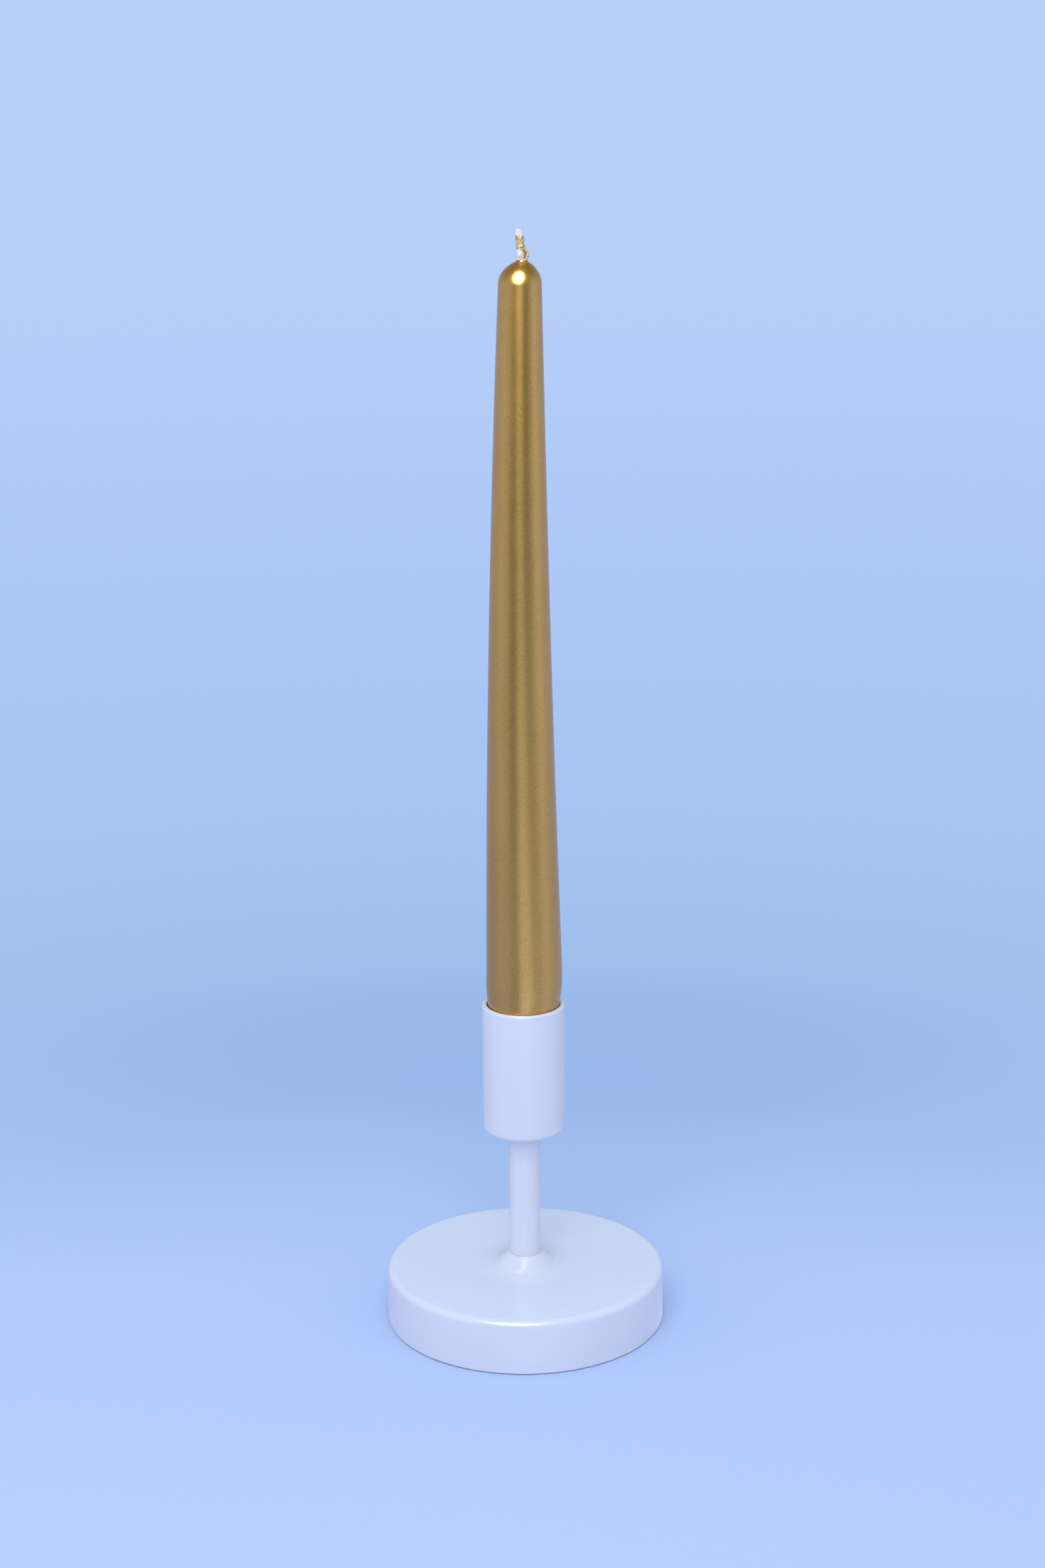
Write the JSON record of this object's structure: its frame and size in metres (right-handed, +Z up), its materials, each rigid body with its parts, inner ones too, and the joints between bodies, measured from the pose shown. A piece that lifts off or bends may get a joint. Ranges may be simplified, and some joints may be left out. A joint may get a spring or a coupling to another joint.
{
  "type": "candlestick",
  "caption": "Table candlestick: weighted disc base, slim stem and straight cup, holding a tall gold-coated taper candle that lifts out.",
  "frame": {"origin": "centre of the foot pad's underside, on the table", "axes": "+Z up along the stem and the candle; the stick is round, so +X and +Y are free"},
  "size_m": [0.086, 0.086, 0.3364],
  "materials": {
    "white_coat": "satin",
    "cast_iron": "matte",
    "grey_felt": "matte",
    "zinc_steel": "satin",
    "white_wax": "satin",
    "gold_lacquer": "satin",
    "waxed_cotton": "matte"
  },
  "bodies": {
    "holder": {"base_shell": "white_coat", "base_weight": "cast_iron", "foot_pad": "grey_felt", "stem": "white_coat", "cup": "white_coat", "cup_screw": "zinc_steel", "base_bolt": "zinc_steel", "flat_washer": "zinc_steel", "spring_washer": "zinc_steel"},
    "candle": {"wax_core": "white_wax", "gold_coat": "gold_lacquer", "wick": "waxed_cotton"}
  },
  "joints": [
    {"name": "candle_lift", "type": "slide", "parent": "holder", "child": "candle", "axis": [0, 0, 1], "range_m": [0, 0.045]}
  ]
}
